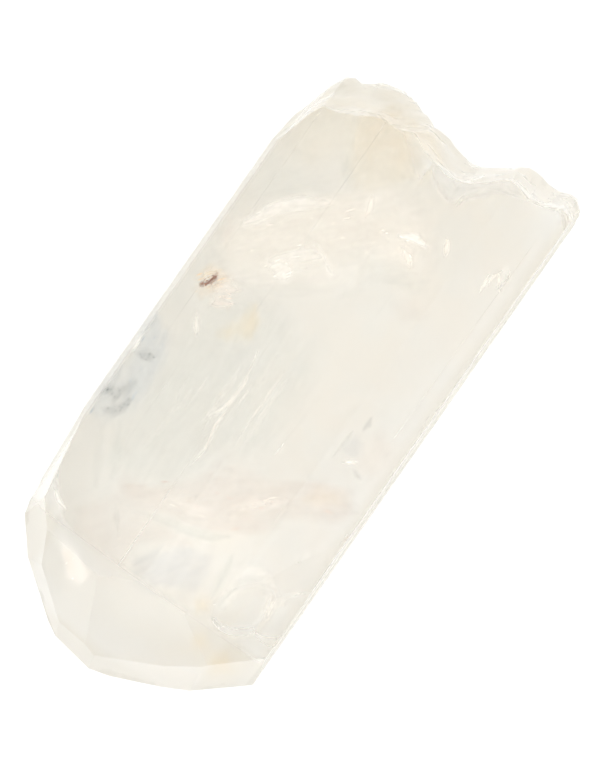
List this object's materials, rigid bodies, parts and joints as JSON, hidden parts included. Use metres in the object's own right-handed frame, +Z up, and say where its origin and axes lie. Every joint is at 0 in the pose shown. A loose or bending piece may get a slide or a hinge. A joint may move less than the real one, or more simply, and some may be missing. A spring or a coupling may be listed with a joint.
{
  "type": "danburite crystal",
  "caption": "Natural danburite crystal lying on a prism face: a pale, see-through to milky prism with a chisel-shaped tip at one end and a shell-like break at the other.",
  "frame": {"origin": "middle of the footprint box, on the level prism face that the crystal rests on", "axes": "+Z up, +X along the prism towards the broken end with the natural tip at -X, +Y to the flank with the broad sloping face"},
  "size_m": [0.045, 0.0202, 0.0144],
  "materials": {
    "danburite": "vitreous, see-through to milky, pale ivory, with veils, fine growth lines, grey inclusions and rust stains"
  },
  "bodies": {
    "root": {"crystal": "danburite"}
  },
  "joints": []
}
